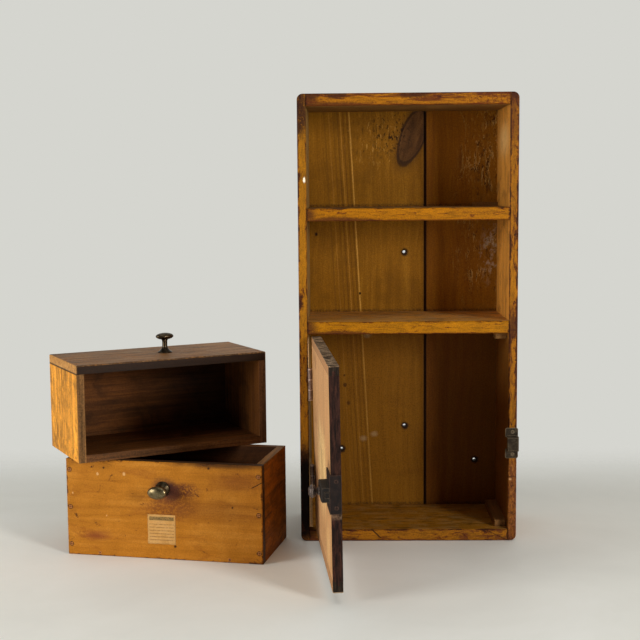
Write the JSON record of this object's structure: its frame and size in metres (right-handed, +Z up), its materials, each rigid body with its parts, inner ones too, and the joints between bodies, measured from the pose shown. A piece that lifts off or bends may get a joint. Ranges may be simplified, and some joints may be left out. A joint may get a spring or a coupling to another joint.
{
  "type": "apothecary cupboard",
  "caption": "Small painted-board wall cupboard with open drawer bays, lift-out drawers and a hinged door that a turn-knob rim latch holds shut in a strap keeper.",
  "frame": {"origin": "middle of the case's underside, halfway from its front edges to the rear of its back boards", "axes": "+Z up, -Y out of the case's open front, +X to the right of someone facing that front"},
  "size_m": [0.4905, 0.32, 0.464],
  "materials": {
    "mustard_paint": "worn old milk paint on pine",
    "back_wood": "stained and aged pine",
    "bare_pine": "bare scratched pine, dull",
    "drawer_wood": "aged unpainted pine",
    "iron": "dark worn iron",
    "nail_iron": "rusted cut nails",
    "brass": "aged dull brass"
  },
  "bodies": {
    "case": {"case_nails": "nail_iron", "back_nails": "nail_iron", "top_board": "mustard_paint", "upper_shelf": "mustard_paint", "lower_shelf": "mustard_paint", "bottom_board": "mustard_paint", "left_side": "mustard_paint", "right_side": "mustard_paint", "back_board_wide": "back_wood", "back_board_narrow": "back_wood", "drawer_stop": "bare_pine", "lower_door_stop": "bare_pine", "upper_door_stop": "bare_pine", "hinge_strip": "bare_pine", "keeper_screws": "iron", "keeper": "iron", "upper_hinge_case_leaf": "iron", "upper_hinge_pin": "iron", "lower_hinge_case_leaf": "iron", "lower_hinge_pin": "iron", "case_hinge_screws": "iron"},
    "door": {"door_panel": "bare_pine", "door_bottom_cleat": "bare_pine", "door_top_cleat": "bare_pine", "upper_hinge_door_leaf": "iron", "lower_hinge_door_leaf": "iron", "door_hinge_screws": "iron", "latch_plate": "iron", "latch_case": "iron", "latch_spring": "iron", "latch_screws": "iron"},
    "latch_knob": {"latch_knob": "iron"},
    "latch_bolt": {"latch_bolt": "iron"},
    "lower_drawer": {"lower_drawer_front": "mustard_paint", "lower_drawer_left_side": "drawer_wood", "lower_drawer_right_side": "drawer_wood", "lower_drawer_back": "drawer_wood", "lower_drawer_bottom": "drawer_wood", "lower_drawer_nails": "nail_iron", "lower_drawer_knob": "brass"},
    "upper_drawer": {"upper_drawer_front": "mustard_paint", "upper_drawer_left_side": "drawer_wood", "upper_drawer_right_side": "drawer_wood", "upper_drawer_back": "drawer_wood", "upper_drawer_bottom": "drawer_wood", "upper_drawer_nails": "nail_iron", "upper_drawer_knob": "brass"}
  },
  "joints": [
    {"name": "door_hinge", "type": "hinge", "parent": "case", "child": "door", "pos_m": [-0.1007, -0.05845, 0.11525], "axis": [0.0131, 0, -0.9999], "range_deg": [-84.4, 16]},
    {"name": "latch_turn", "type": "hinge", "parent": "door", "child": "latch_knob", "pos_m": [-0.08024, -0.23996, 0.10038], "axis": [-0.9951, -0.0976, -0.013], "range_deg": [0, 90]},
    {"name": "latch_bolt_slide", "type": "slide", "parent": "door", "child": "latch_bolt", "axis": [0.0977, -0.9951, -0.0118], "range_m": [0, 0.00523]},
    {"name": "lower_drawer_slide", "type": "slide", "parent": "case", "child": "lower_drawer", "axis": [-0.1908, -0.9816, 0], "range_m": [0, 0.085]},
    {"name": "upper_drawer_slide", "type": "slide", "parent": "lower_drawer", "child": "upper_drawer", "axis": [0, 0, 1], "range_m": [0, 0.085]}
  ],
  "couplings": [
    {"joint": "latch_turn", "follows": "latch_bolt_slide", "rad_per_m": 300.23}
  ]
}
